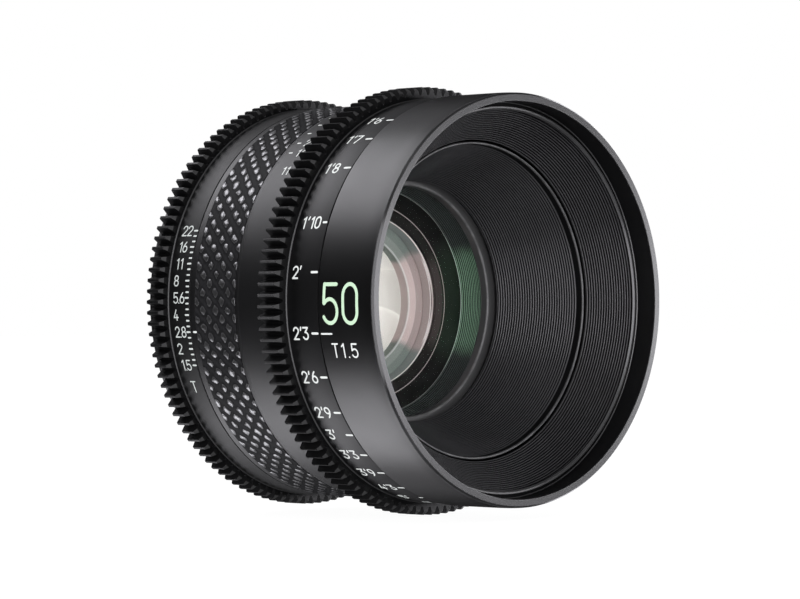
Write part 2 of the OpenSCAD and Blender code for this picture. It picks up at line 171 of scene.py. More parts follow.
def metal_black(name, dark, light, rough, grain, edge_wear_glint_col, edge_wear_glint_amount, specular=0.5):
    """Dyed anodised aluminium: fine blasted grain, faint turning lines, slightly worn edges; where the edge amount is
    high the lighter edges are a painted highlight.
    """
    t = Tree(name)
    grainy = t.noise(grain, 4.0, 0.6)
    cloud = t.noise(70.0, 3.0, 0.5)
    lines = t.noise(900.0, 2.0, 0.5, stretch=(0.02, 1.0, 0.02))
    col = t.mix(t.remap(cloud, 0.3, 0.7, 0.0, 1.0), dark, light)
    # edges lightened: partly wear, partly a painted edge highlight
    edge_wear_and_glint = t.math("MULTIPLY", t.attr("edge"), t.remap(t.noise(260.0, 4.0, 0.65), 0.42, 0.62, 0.25, 1.0))
    col = t.mix(t.math("MULTIPLY", edge_wear_and_glint, edge_wear_glint_amount, clamp=True), col, edge_wear_glint_col)
    r1 = t.remap(grainy, 0.25, 0.75, rough - 0.05, rough + 0.06)
    r2 = t.math("ADD", r1, t.remap(cloud, 0.3, 0.7, -0.02, 0.03))
    height = t.math("ADD", grainy, t.math("MULTIPLY", lines, 0.5))
    nrm = t.bump(height, 0.35, 0.000006)
    sh = t.principled(Base_Color=col, Roughness=r2, Normal=nrm, Specular_IOR_Level=specular)
    return t.done(sh)


MAT_BARREL = metal_black("black_anodised_satin", (0.0010, 0.0010, 0.0011), (0.0016, 0.0016, 0.0018), 0.37, 5200.0, (0.02, 0.02, 0.021), 0.4)
MAT_RING = metal_black("black_anodised_ring", (0.0016, 0.0016, 0.0018), (0.0024, 0.0024, 0.0027), 0.43, 5200.0, (0.03, 0.03, 0.031), 0.4, 0.52)
MAT_BAND = metal_black("black_anodised_band", (0.0028, 0.0028, 0.0031), (0.0040, 0.0040, 0.0044), 0.43, 5200.0, (0.03, 0.03, 0.031), 0.4, 0.42)
MAT_RING_REAR = metal_black("black_anodised_ring_rear", (0.0036, 0.0037, 0.0038), (0.0050, 0.0052, 0.0052), 0.49, 5200.0, (0.03, 0.03, 0.031), 0.4, 0.32)
MAT_GEAR = metal_black("black_anodised_gear", (0.0016, 0.0016, 0.0018), (0.0024, 0.0024, 0.0026), 0.46, 4200.0, (0.006, 0.006, 0.006), 0.2, 0.20)
# lighter copies of the gear's black anodising for chamfers and flare lines: painted highlight and painted light on
# those facets
MAT_GEAR_EDGE = metal_black("black_anodised_chamfer_painted_highlight", (0.018, 0.018, 0.0183), (0.025, 0.025, 0.0253), 0.38, 4200.0, (0.035, 0.035, 0.036), 0.4, 0.55)
MAT_GEAR_CHAMFER = metal_black("black_anodised_tooth_chamfer_painted_light", (0.019, 0.019, 0.0193), (0.026, 0.026, 0.0263), 0.46, 4200.0, (0.035, 0.035, 0.036), 0.3, 0.22)
MAT_MATTE = metal_black("matte_black_inside", (0.0045, 0.0045, 0.005), (0.0068, 0.0068, 0.0074), 0.52, 6000.0, (0.02, 0.02, 0.022), 0.4)
# the lands' marked edges come out lighter: a painted highlight on the rib crests
MAT_BAFFLE = metal_black("matte_black_ribbed", (0.019, 0.019, 0.0202), (0.026, 0.026, 0.0276), 0.35, 6000.0, (0.032, 0.032, 0.034), 0.3, 0.80)



def turned_black(name, a, b, edge_wear_glint_col, rough, specular):
    """Anodised face with the fine circular lines of turning, so that it shines across them."""
    t = Tree(name)
    grainy = t.noise(4800.0, 4.0, 0.6)
    cloud = t.noise(80.0, 3.0, 0.5)
    col = t.mix(t.remap(cloud, 0.3, 0.7, 0.0, 1.0), a, b)
    # edges lightened: partly wear, partly a painted edge highlight
    edge_wear_and_glint = t.math("MULTIPLY", t.attr("edge"), t.remap(t.noise(260.0, 4.0, 0.65), 0.4, 0.65, 0.4, 1.0))
    col = t.mix(edge_wear_and_glint, col, edge_wear_glint_col)
    rgh = t.remap(grainy, 0.25, 0.75, rough - 0.05, rough + 0.06)
    nrm = t.bump(grainy, 0.25, 0.000004)
    sh = t.principled(Base_Color=col, Roughness=rgh, Normal=nrm, Specular_IOR_Level=specular, Anisotropic=0.75, Anisotropic_Rotation=0.25)
    tan = t.n("ShaderNodeTangent", direction_type="RADIAL", axis="Y")
    t.link(tan.outputs[0], sh.inputs["Tangent"])
    return t.done(sh)


MAT_RIM = turned_black("black_anodised_rim", (0.012, 0.012, 0.0125), (0.016, 0.016, 0.0165), (0.05, 0.05, 0.052), 0.23, 0.6)
MAT_GEAR_END = turned_black("black_anodised_gear_end", (0.0026, 0.0026, 0.0028), (0.0040, 0.0040, 0.0042), (0.01, 0.01, 0.01), 0.30, 0.35)


# near-black for grooves, gaps, rebates and tooth flanks: painted shade in recesses; on lens edges it is the real
# blackening of ground edges
MAT_BLACK_PAINTED_SHADE = metal_black("black_recess_painted_shade", (0.0022, 0.0022, 0.0024), (0.0034, 0.0034, 0.0037), 0.7, 6000.0, (0.006, 0.006, 0.006), 0.2, 0.12)
MAT_BORE = metal_black("black_bore", (0.0030, 0.0030, 0.0033), (0.0042, 0.0042, 0.0046), 0.45, 6000.0, (0.01, 0.01, 0.01), 0.2, 0.3)
# retainer: its strongly lightened edge is a painted highlight; the edge copy below is a lighter anodising used as a
# painted highlight on collar and lip lines
MAT_RETAINER = metal_black("black_anodised_retainer", (0.042, 0.042, 0.0425), (0.054, 0.054, 0.0545), 0.34, 5200.0, (0.15, 0.15, 0.152), 0.7)
MAT_SHADE_EDGE = metal_black("black_anodised_painted_highlight_edge", (0.020, 0.020, 0.0205), (0.027, 0.027, 0.0275), 0.31, 5200.0, (0.075, 0.075, 0.077), 0.8, 0.95)


def carbon_mat():
    """Woven carbon: staggered floats of the tows round the barrel catch the light, the rest stays dark."""
    t = Tree("carbon_weave_satin")
    sep = t.n("ShaderNodeSeparateXYZ")
    t.link(t.obj(), sep.inputs[0])
    ang = t.math("ARCTAN2", sep.outputs["Z"], sep.outputs["X"])
    u = t.math("MULTIPLY", ang, 71.0 / (2 * math.pi))
    v = t.math("MULTIPLY", sep.outputs["Y"], 1.0 / 0.00436)
    u = t.math("ADD", u, t.remap(t.noise(430.0, 2.0, 0.5), 0.2, 0.8, -0.10, 0.10))
    v = t.math("ADD", v, t.remap(t.noise(390.0, 2.0, 0.5, stretch=(1.0, 1.3, 0.8)), 0.2, 0.8, -0.09, 0.09))
    size = t.remap(t.noise(300.0, 1.0, 0.5, stretch=(0.9, 1.1, 1.2)), 0.3, 0.7, 0.80, 1.14)

    def float_(shift):
        du = t.math("MULTIPLY", t.math("SUBTRACT", t.math("FRACT", t.math("ADD", u, 0.5 + shift)), 0.5), 4.1)
        dv = t.math("MULTIPLY", t.math("SUBTRACT", t.math("FRACT", t.math("ADD", v, 0.5 + shift)), 0.5), 4.36)
        side = t.math("ABSOLUTE", t.math("MULTIPLY_ADD", du, 0.24, dv))
        a = t.math("POWER", t.math("DIVIDE", t.math("ABSOLUTE", du), 1.12), 1.25)
        b = t.math("POWER", t.math("DIVIDE", side, 1.00), 1.4)
        return t.math("ADD", a, b)

    d = t.math("DIVIDE", t.math("MINIMUM", float_(0.0), float_(0.5)), size)
    tow = t.remap(d, 0.78, 1.02, 1.0, 0.0, smooth=True)
    gap = t.remap(d, 1.40, 2.20, 1.0, 0.0, smooth=True)
    crown = t.remap(d, 0.0, 1.4, 1.0, 0.0, smooth=True)
    fibre = t.noise(2600.0, 2.0, 0.5, stretch=(0.35, 1.0, 0.35))
    streak = t.remap(fibre, 0.3, 0.7, 0.0, 1.0)
    weft = t.mix(streak, (0.0100, 0.0100, 0.0109), (0.0150, 0.0150, 0.0160))
    base = t.mix(t.math("MULTIPLY", gap, 0.5), weft, (0.0030, 0.0030, 0.0034))
    warp = t.mix(streak, (0.15, 0.15, 0.155), (0.24, 0.24, 0.245))
    col = t.mix(tow, base, warp)
    rough = t.remap(tow, 0.0, 1.0, 0.56, 0.35)
    nrm = t.bump(t.math("ADD", crown, t.math("MULTIPLY", fibre, 0.06)), 1.0, 0.00022)
    sh = t.principled(Base_Color=col, Roughness=rough, Metallic=t.math("MULTIPLY", tow, 0.94), Normal=nrm, Specular_IOR_Level=0.04)
    return t.done(sh)


MAT_CARBON = carbon_mat()


def bare_metal(name, a, b, rough, scale, aniso=0.0):
    t = Tree(name)
    cloud = t.noise(120.0, 4.0, 0.6)
    grainy = t.noise(scale, 3.0, 0.6)
    col = t.mix(t.remap(cloud, 0.3, 0.7, 0.0, 1.0), a, b)
    r = t.remap(grainy, 0.25, 0.75, rough - 0.03, rough + 0.04)
    nrm = t.bump(grainy, 0.10, 0.000003)
    return t.done(t.principled(Base_Color=col, Roughness=r, Normal=nrm, Metallic=1.0, Anisotropic=aniso))


MAT_STEEL = bare_metal("screw_steel_black", (0.055, 0.055, 0.06), (0.085, 0.085, 0.09), 0.34, 5000.0)
MAT_MOUNT = bare_metal("mount_steel_turned", (0.56, 0.56, 0.55), (0.64, 0.64, 0.63), 0.26, 3000.0, 0.3)
MAT_ALU = bare_metal("bare_aluminium_turned", (0.62, 0.62, 0.63), (0.72, 0.72, 0.73), 0.30, 3000.0)
MAT_BRASS = bare_metal("brass_turned", (0.62, 0.46, 0.20), (0.74, 0.56, 0.27), 0.28, 3000.0)


def glass_mat(name, ior, tint, shine):
    """Coated optical glass: it bends light and mirrors a trace of it in the coating's colour. Shadow rays pass straight
    through, so that what is inside is lit."""
    t = Tree(name)
    melt = t.noise(60.0, 2.0, 0.5)
    body = t.mix(t.remap(melt, 0.3, 0.7, 0.0, 1.0), (0.985, 0.983, 0.981), (0.992, 0.990, 0.988))
    bend = t.n("ShaderNodeBsdfRefraction")
    bend.inputs["Roughness"].default_value = 0.0
    bend.inputs["IOR"].default_value = ior
    t.link(body, bend.inputs["Color"])
    coat = t.n("ShaderNodeBsdfGlossy")
    coat.inputs["Roughness"].default_value = 0.04
    coat.inputs["Color"].default_value = tint + (1.0,)
    both = t.n("ShaderNodeMixShader")
    both.inputs[0].default_value = shine
    t.link(bend.outputs[0], both.inputs[1])
    t.link(coat.outputs[0], both.inputs[2])
    clear = t.n("ShaderNodeBsdfTransparent")
    clear.inputs["Color"].default_value = (0.97, 0.97, 0.965, 1.0)
    lp = t.n("ShaderNodeLightPath")
    mx = t.n("ShaderNodeMixShader")
    t.link(lp.outputs["Is Shadow Ray"], mx.inputs[0])
    t.link(both.outputs[0], mx.inputs[1])
    t.link(clear.outputs[0], mx.inputs[2])
    t.link(mx.outputs[0], t.out.inputs["Surface"])
    return t.mat


MAT_GLASS_1 = glass_mat("optical_glass_front", 1.62, (0.012, 0.030, 0.018), 0.02)
MAT_GLASS_2 = glass_mat("optical_glass_rose", 1.66, (0.012, 0.009, 0.009), 0.01)
MAT_GLASS_3 = glass_mat("optical_glass_pale", 1.62, (0.010, 0.010, 0.011), 0.01)


def stop_mat(name, inner, outer, split, side, rough, highlight_line=None, cut=(0.54, 0.66), painted_glow=0.0):
    """Turned ring deep in the lens, in two painted-reflection tones either side of a radius: the coatings' colour
    painted on it at the sides as a painted reflection, and a darker painted shade above and below.
    Given a glow strength, it glows white: a painted glow standing in for the bright surroundings that come through the
    glass."""
    t = Tree(name)
    sep = t.n("ShaderNodeSeparateXYZ")
    t.link(t.obj(), sep.inputs[0])
    rad = t.math("SQRT", t.math("ADD", t.math("POWER", sep.outputs["X"], 2.0), t.math("POWER", sep.outputs["Z"], 2.0)))
    ang = t.math("ABSOLUTE", t.math("ARCTAN2", sep.outputs["Z"], t.math("ABSOLUTE", sep.outputs["X"])))
    # angle mask: painted reflection on the sides, painted shade above and below
    painted_sector = t.remap(t.math("ADD", ang, t.remap(t.noise(300.0, 2.0, 0.5), 0.3, 0.7, -0.02, 0.02)), cut[0], cut[1], 0.0, 1.0, smooth=True)
    grainy = t.noise(5200.0, 3.0, 0.6)
    cloud = t.noise(130.0, 3.0, 0.6)
    tone = t.remap(rad, split - 0.00006, split + 0.00006, 0.0, 1.0)
    # near: painted reflection tones in the side sectors; far: painted shade tones above and below
    near = t.mix(tone, inner, outer)
    far = t.mix(tone, side[0], side[1])
    col = t.mix(painted_sector, near, far)
    col = t.mix(t.math("MULTIPLY", t.remap(cloud, 0.3, 0.7, 0.0, 0.14), 1.0), col, (0.05, 0.05, 0.05))
    # a thin bright ring at one radius: painted highlight of a turned edge
    if highlight_line:
        on = t.remap(t.math("ABSOLUTE", t.math("SUBTRACT", rad, highlight_line[0])), highlight_line[1] * 0.7, highlight_line[1] * 1.3, 1.0, 0.0)
        col = t.mix(on, col, highlight_line[2])
    rgh = t.remap(grainy, 0.25, 0.75, rough - 0.05, rough + 0.06)
    sh = t.principled(Base_Color=col, Roughness=rgh, Normal=t.bump(grainy, 0.2, 0.000004), Specular_IOR_Level=0.1)
    # painted glow: white emission standing in for light seen through the lens
    if painted_glow:
        t.link(t.mix(t.remap(cloud, 0.3, 0.7, 0.0, 1.0), (0.92, 0.95, 0.90), (0.97, 0.98, 0.95)), sh.inputs["Emission Color"])
        sh.inputs["Emission Strength"].default_value = painted_glow
    return t.done(sh)


# pink tones at the sides are painted reflection of the coatings; green-grey above and below is painted shade
MAT_PLATE = stop_mat("stop_plate_painted_reflection", (0.80, 0.665, 0.65), (0.50, 0.415, 0.405), 0.0152, ((0.30, 0.345, 0.32), (0.22, 0.265, 0.245)), 0.5)
# blades next to each other differ a little in tone; they are pale and glow faintly, a painted glow standing in for the
# light seen through the stop
MAT_BLADES = [stop_mat("blade_steel_rolled_%s" % nm, c, c, 0.0118, (c, c), 0.42, painted_glow=e) for nm, c, e in (
    ("a", (0.64, 0.62, 0.60), 0.62), ("b", (0.58, 0.56, 0.54), 0.55), ("c", (0.52, 0.50, 0.48), 0.48))]
# dark cell with painted reflection tones in the side sectors, painted shade above and below, and a painted highlight
# line at 19.8 mm
MAT_CELL = stop_mat("cell_black_painted_reflection", (0.050, 0.042, 0.041), (0.009, 0.018, 0.011), 0.0192, ((0.008, 0.007, 0.007), (0.0022, 0.0022, 0.0024)), 0.6, (0.0198, 0.00010, (0.45, 0.41, 0.40)), cut=(0.30, 0.62))
# near-white painted highlight of turned edges, with painted reflection tones and a brighter painted highlight line
MAT_BEAD = stop_mat("stop_edge_painted_highlight", (0.95, 0.90, 0.88), (0.46, 0.39, 0.38), 0.0160, ((0.60, 0.64, 0.62), (0.22, 0.25, 0.24)), 0.4, (0.01706, 0.00006, (0.95, 0.90, 0.88)))
# green at the sides is a painted reflection of the coatings, dark grey above and below is painted shade; the edge copy
# is a pale green painted highlight
MAT_SPACER = stop_mat("ribbed_spacer_painted_reflection", (0.17, 0.30, 0.20), (0.17, 0.30, 0.20), 0.0100, ((0.042, 0.050, 0.048), (0.042, 0.050, 0.048)), 0.4, cut=(0.34, 0.52))
MAT_SPACER_EDGE = stop_mat("ribbed_spacer_painted_highlight", (0.55, 0.72, 0.60), (0.55, 0.72, 0.60), 0.0100, ((0.18, 0.19, 0.185), (0.18, 0.19, 0.185)), 0.4, cut=(0.34, 0.70))


def ink(name, a, b):
    t = Tree(name)
    cloud = t.noise(900.0, 3.0, 0.6)
    col = t.mix(t.remap(cloud, 0.3, 0.7, 0.0, 1.0), a, b)
    rough = t.remap(t.noise(5000.0, 2.0, 0.5), 0.3, 0.7, 0.42, 0.58)
    return t.done(t.principled(Base_Color=col, Roughness=rough, Specular_IOR_Level=0.3))


MAT_WHITE = ink("filled_white", (0.56, 0.585, 0.57), (0.62, 0.64, 0.625))
MAT_WHITE_REAR = ink("filled_white_rear", (0.43, 0.46, 0.445), (0.49, 0.515, 0.50))
MAT_GREEN = ink("filled_pale_green", (0.41, 0.56, 0.40), (0.46, 0.61, 0.45))


# ---------------------------------------------------------------- mesh helpers
def rounded(points, f=0.12, n=3):
    """Rounds the corners of a closed (r, s) loop and marks them, with holding points beside each round."""
    out = []
    k = len(points)
    for i, p in enumerate(points):
        a, b = points[i - 1], points[(i + 1) % k]
        fr = p[2] if len(p) > 2 else f
        c = Vector(p[:2])
        v0, v1 = Vector(a[:2]) - c, Vector(b[:2]) - c
        l0, l1 = v0.length, v1.length
        v0, v1 = v0 / l0, v1 / l1
        cosang = max(-1.0, min(1.0, v0.dot(v1)))
        ang = math.acos(cosang)
        if fr <= 0 or ang > math.radians(172):
            out.append((c.x, c.y, 0.0))
            continue
        half = ang / 2
        d = min(fr / math.tan(half), 0.40 * l0, 0.40 * l1)
        fe = d * math.tan(half)
        p0, p1 = c + v0 * d, c + v1 * d
        mid = c + (v0 + v1).normalized() * (fe / math.sin(half))
        h0, h1 = min(0.06, 0.08 * l0), min(0.06, 0.08 * l1)
        q = c + v0 * (d + h0)
        out.append((q.x, q.y, 0.0))
        a0 = math.atan2(p0.y - mid.y, p0.x - mid.x)
        a1 = math.atan2(p1.y - mid.y, p1.x - mid.x)
        da = (a1 - a0 + math.pi) % (2 * math.pi) - math.pi
        for j in range(n + 1):
            t = a0 + da * j / n
            out.append((mid.x + fe * math.cos(t), mid.y + fe * math.sin(t), 1.0))
        q = c + v1 * (d + h1)
        out.append((q.x, q.y, 0.0))
    return out


def finish_mesh(name, verts, faces, edge, mats, face_mat=None):
    me = bpy.data.meshes.new(name)
    me.from_pydata(verts, [], faces)
    me.validate()
    for p in me.polygons:
        p.use_smooth = True
    at_ = me.attributes.new("edge", "FLOAT", "POINT")
    at_.data.foreach_set("value", edge)
    for mt in mats:
        me.materials.append(mt)
    if face_mat:
        me.polygons.foreach_set("material_index", face_mat)
    me.update()
    o = bpy.data.objects.new(name, me)
    scene.collection.objects.link(o)
    return o


def lathe(name, loop, mats, seg=256, mat_of=None):
    """Turns a closed loop of (r, s, edge) round the optical axis."""
    k = len(loop)
    area = sum(loop[i][0] * loop[(i + 1) % k][1] - loop[(i + 1) % k][0] * loop[i][1] for i in range(k))
    if area < 0:
        loop = loop[::-1]
    verts, edge, idx = [], [], []
    for (r, s, e) in loop:
        if r < 1e-6:
            idx.append([len(verts)] * seg)
            verts.append(at(0.0, s, 0.0))
            edge.append(e)
        else:
            idx.append(list(range(len(verts), len(verts) + seg)))
            for j in range(seg):
                verts.append(at(r, s, 360.0 * j / seg))
                edge.append(e)
    faces, fm = [], []
    for i in range(k):
        a, b = idx[i], idx[(i + 1) % k]
        pa, pb = loop[i], loop[(i + 1) % k]
        if pa[0] < 1e-6 and pb[0] < 1e-6:
            continue
        mi = mat_of(pa, pb) if mat_of else 0
        for j in range(seg):
            j2 = (j + 1) % seg
            q = []
            for v in (a[j], b[j], b[j2], a[j2]):
                if v not in q:
                    q.append(v)
            faces.append(tuple(q))
            fm.append(mi)
    return finish_mesh(name, verts, faces, edge, mats, fm)


def gear(name, teeth, tip, root, s0, s1, r_in, w_tip, w_root, mat, chamfer=0.85, back=0.15):
    """External straight teeth with eased tips, round roots and chamfered ends; flanks and roots in the near-black
    recess material as painted shade, chamfer facets in a lighter copy as painted light.
    """
    p = 2 * math.pi * tip / teeth
    half = [(-p / 2, root, 0.0), (-w_root, root, 0.35), (-w_tip, tip, 0.05), (w_tip, tip, 0.05), (w_root, root, 0.35), (p / 2, root, 0.0)]
    prof = []
    for i in range(1, 5):
        a, c, b = half[i - 1], half[i], half[i + 1]
        cv = Vector(c[:2])
        v0, v1 = Vector(a[:2]) - cv, Vector(b[:2]) - cv
        l0, l1 = v0.length, v1.length
        v0, v1 = v0 / l0, v1 / l1
        h = math.acos(max(-1, min(1, v0.dot(v1)))) / 2
        d = min(c[2] / math.tan(h), 0.42 * l0, 0.42 * l1)
        if i in (1, 4):
            d = min(c[2] / math.tan(h), 0.9 * (p / 2 - w_root), 0.42 * max(l0, l1))
        fe = d * math.tan(h)
        p0, p1 = cv + v0 * d, cv + v1 * d
        mid = cv + (v0 + v1).normalized() * (fe / math.sin(h))
        a0 = math.atan2(p0.y - mid.y, p0.x - mid.x)
        a1 = math.atan2(p1.y - mid.y, p1.x - mid.x)
        da = (a1 - a0 + math.pi) % (2 * math.pi) - math.pi
        for j in range(5):
            t = a0 + da * j / 4
            prof.append((mid.x + fe * math.cos(t), mid.y + fe * math.sin(t), 0.6 if i in (2, 3) else 0.0))
    k = len(prof)
    n = k * teeth

    def row(cut):
        lim = tip - cut
        over = [abs(x) for (x, r, e) in prof if r > lim + 1e-9]
        wide = max(over) if over else 1.0
        w_lim = w_tip + (w_root - w_tip) * cut / (tip - root)
        return [(x, r, e) if r <= lim + 1e-9 else (x * w_lim / wide, lim, e) for (x, r, e) in prof]

    rows = [(s0, chamfer), (s0 + chamfer, 0.0), (s0 + chamfer + 0.3, 0.0), (s1 - back - 0.3, 0.0), (s1 - back, 0.0), (s1, back)]
    verts, edge = [], []
    for q, (s, cut) in enumerate(rows):
        pr = row(cut)
        for i in range(teeth):
            for (x, r, e) in pr:
                verts.append(at(r, s, math.degrees(x / tip) + 360.0 * i / teeth))
                edge.append(max(e, 0.7 if q in (0, 1, 4, 5) and r > root + 0.5 else 0.0))
    faces = []
    for q in range(len(rows) - 1):
        for j in range(n):
            j2 = (j + 1) % n
            faces.append((q * n + j, (q + 1) * n + j, (q + 1) * n + j2, q * n + j2))
    base = len(verts)
    for (r, s) in ((root - 0.12, s1), (r_in, s1), (r_in, s0), (root - 0.12, s0)):
        for i in range(teeth):
            for (x, _, _) in prof:
                verts.append(at(r, s, math.degrees(x / tip) + 360.0 * i / teeth))
                edge.append(0.0)
    rings = [(len(rows) - 1) * n] + [base + i * n for i in range(4)] + [0]
    for a, b in zip(rings[:-1], rings[1:]):
        for j in range(n):
            j2 = (j + 1) % n
            faces.append((a + j, b + j, b + j2, a + j2))
    # tooth flanks and roots take the near-black recess material, a painted shade between the teeth; the chamfer facets
    # take a lighter copy, painted light
    over = [i for i, q in enumerate(prof) if q[1] > tip - chamfer + 1e-9]
    bevel = [2 if over[0] <= j % k < over[-1] else 0 for j in range(n)]
    tips_and_flank_shade = [0 if b_ else 3 for b_ in bevel]
    bevel = [b_ or 3 for b_ in bevel]
    fmi = bevel + tips_and_flank_shade * 3 + bevel + [1] * (2 * n) + [0] * n + [1] * (2 * n)
    o = finish_mesh(name, verts, faces, edge, [mat, MAT_GEAR_END, MAT_GEAR_CHAMFER, MAT_BLACK_PAINTED_SHADE], fmi)
    me = o.data
    # ends and chamfers keep their edges
    sharp = me.attributes.new("sharp_edge", "BOOLEAN", "EDGE")
    flags = [False] * len(me.edges)
    crisp = {0, 1, 4, 5, 6, 7, 8, 9}
    for e in me.edges:
        a, b = e.vertices
        if a // n == b // n and a // n in crisp:
            flags[e.index] = True
        elif min(a, b) // n in (0, 4) and abs(a - b) == n and (a % n) % k in (over[0], over[-1]):
            flags[e.index] = True
    sharp.data.foreach_set("value", flags)
    return o


def place(o, body, *replaced, slot=None):
    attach(o, body)
    if replaced:
        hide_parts(*replaced)
    return o


# ---------------------------------------------------------------- front barrel
def rim_flat(a, b):
    if max(a[1], b[1]) < 0.66:
        return 1
    return 2 if max(a[0], b[0]) < 45.5 and min(a[1], b[1]) < 8.0 else 0


loop = rounded([
    (46.95, 0.0, 0.08), (47.38, 0.5, 0.22), (47.45, 1.8, 0.0), (47.485, 3.0, 0.0), (47.5, 4.2, 0.0), (47.5, 17.35, 0.14), (45.1, 17.35, 0.1),
    (45.1, 13.9, 0.1), (41.2, 13.9, 0.1), (41.2, 13.6, 0.1), (43.7, 13.6, 0.1), (43.7, 8.2, 0.1), (45.45, 8.2, 0.1), (45.45, 0.0, 0.1)])
MAT_FRONT = [MAT_BARREL, MAT_RIM, MAT_BORE]
place(lathe("barrel_front", loop, MAT_FRONT, seg=288, mat_of=rim_flat), "body", "front_barrel", slot="black_anodised")

# ring that holds the ribbed shade, and the two ribbed shades
loop = rounded([
    (43.68, 5.55, 0.06), (44.03, 5.2, 0.06), (44.45, 5.2, 0.08), (44.45, 6.2, 0.05), (45.2, 6.2, 0.05), (45.25, 5.65, 0.03), (45.45, 5.45, 0.03),
    (45.45, 7.0, 0.04), (44.35, 7.0, 0.05), (44.2, 6.4, 0.05), (43.68, 5.95, 0.04)])


# the groove takes the near-black recess material, a painted shade; the ring is in the lighter edge copy, a painted
# highlight
def ring_groove(a, b):
    lo, hi = min(a[0], b[0]), max(a[0], b[0])
    if lo > 44.38 and hi < 45.26 and max(a[1], b[1]) > 5.45:
        return 1
    return 1 if max(a[1], b[1]) > 5.65 and hi < 44.4 else 0


place(lathe("shade_ring", loop, [MAT_SHADE_EDGE, MAT_BLACK_PAINTED_SHADE], seg=256, mat_of=ring_groove), "body", "baffle_retainer", slot="black_anodised")


def ribbed(r0, s0, r1, s1, count, depth, tilt=0.0):
    """Ribs from (r0, s0) to (r1, s1): lands with eased edges, tilted or not, and deep grooves, which are marked below zero."""
    dr, ds = r1 - r0, s1 - s0
    ln = math.hypot(dr, ds)
    nx, ny = ds / ln, -dr / ln
    if nx > 0:
        nx, ny = -nx, -ny
    pts = []
    for i in range(count):
        for (t, h, e) in ((0.02, 0.0, -0.001), (0.45, 0.0, -0.001), (0.51, 0.90, 0.0), (0.56, 1.0, 0.8), (0.90, 1.0 - tilt, 0.8), (0.96, 0.88 - tilt, 0.0)):
            f = (i + t) / count
            out_h = (h - 1.0) * depth
            pts.append((r0 + dr * f + nx * out_h, s0 + ds * f + ny * out_h, e))
    return pts


# grooves take the near-black recess material: painted shade in them
def groove(a, b):
    return 1 if min(a[2], b[2]) < 0 else 0


loop = [(45.45, 7.0, 0.0), (45.45, 8.2, 0.0), (43.65, 8.2, 0.0), (38.6, 14.5, 0.0), (37.6, 14.6, 0.0), (37.2, 14.58, 0.0)]
loop += ribbed(36.9, 14.52, 44.1, 6.49, 18, 0.34) + [(44.3, 6.45, 0.0), (44.36, 7.0, 0.0)]
place(lathe("shade_front", loop, [MAT_BAFFLE, MAT_BLACK_PAINTED_SHADE], seg=288, mat_of=groove), "body", "front_baffle", slot="matte_black")
loop = [(36.72, 18.0, 0.0), (30.2, 34.2, 0.0), (33.2, 34.2, 0.0), (33.2, 35.0, 0.0), (30.4, 35.0, 0.0), (30.4, 36.8, 0.0), (28.9, 36.8, 0.0), (28.9, 35.5, 0.0), (28.5, 35.45, 0.0), (28.26, 35.42, 0.0)]
loop += ribbed(28.2, 35.35, 36.0, 16.75, 32, 0.28, 0.45)
loop += [(36.1, 16.7, 0.0), (36.12, 16.5, 0.0), (36.12, 15.1, 0.0), (36.13, 14.95, 0.2), (36.17, 14.82, 1.0), (36.26, 14.73, 1.0), (36.36, 14.7, 1.0), (36.48, 14.7, 1.0), (36.58, 14.73, 1.0), (36.67, 14.82, 1.0), (36.71, 14.95, 0.4), (36.72, 15.1, 0.0)]


# the lip bead in the lighter edge copy is a painted highlight; grooves and the gap behind it in the near-black recess
# material are painted shade
def lip(a, b):
    if max(a[1], b[1]) < 15.15:
        return 1
    if groove(a, b) or (max(a[1], b[1]) < 16.72 and min(a[0], b[0]) > 36.05 and max(a[0], b[0]) < 36.3):
        return 2
    return 0


place(lathe("shade_inner", loop, [MAT_BAFFLE, MAT_SHADE_EDGE, MAT_BLACK_PAINTED_SHADE], seg=256, mat_of=lip), "optics", "inner_baffle", slot="matte_black")
loop = rounded([(27.2, 37.6, 0.42), (30.4, 37.6, 0.06), (30.4, 40.9, 0.05), (29.7, 40.55, 0.0), (29.55, 40.55, 0.0), (27.2, 39.83, 0.05)], n=6)
place(lathe("glass_ring_front", loop, [MAT_RETAINER], seg=256), "optics", "front_retainer", slot="black_anodised")
# spacer: grooves in the near-black recess material as painted shade, its rear lip pale green as a painted highlight
loop = [(29.6, 44.15, 0.0), (29.6, 44.7, 0.0), (25.2, 50.55, 0.0), (25.2, 50.1, 0.0), (25.0, 50.02, 0.6), (24.88, 49.95, 1.0)]
loop += ribbed(24.9, 49.85, 28.8, 44.25, 12, 0.20) + [(28.8, 44.15, 0.0)]
place(lathe("glass_spacer", loop, [MAT_SPACER, MAT_BLACK_PAINTED_SHADE, MAT_SPACER_EDGE], seg=224, mat_of=lambda a, b: 2 if min(a[1], b[1]) > 49.84 and max(a[0], b[0]) < 25.21 else groove(a, b)), "optics", "lens_spacer_front", slot="matte_black")

# bright turned edges of the bore ahead of the blades: two added thin rings whose near-white colour is a painted
# highlight of those edges
loop = rounded([(17.0, 57.24, 0.05), (17.18, 57.2, 0.02), (17.18, 57.9, 0.02), (16.6, 57.97, 0.02), (16.6, 57.9, 0.05)], n=4)
place(lathe("stop_bore_bead", loop, [MAT_BEAD], seg=192), "optics", slot="matte_black")
loop = rounded([(13.38, 57.86, 0.05), (13.72, 57.86, 0.08), (13.78, 58.0, 0.02), (13.38, 58.0, 0.02)], n=4)
place(lathe("stop_plate_bead", loop, [MAT_BEAD], seg=192), "optics", slot="matte_black")

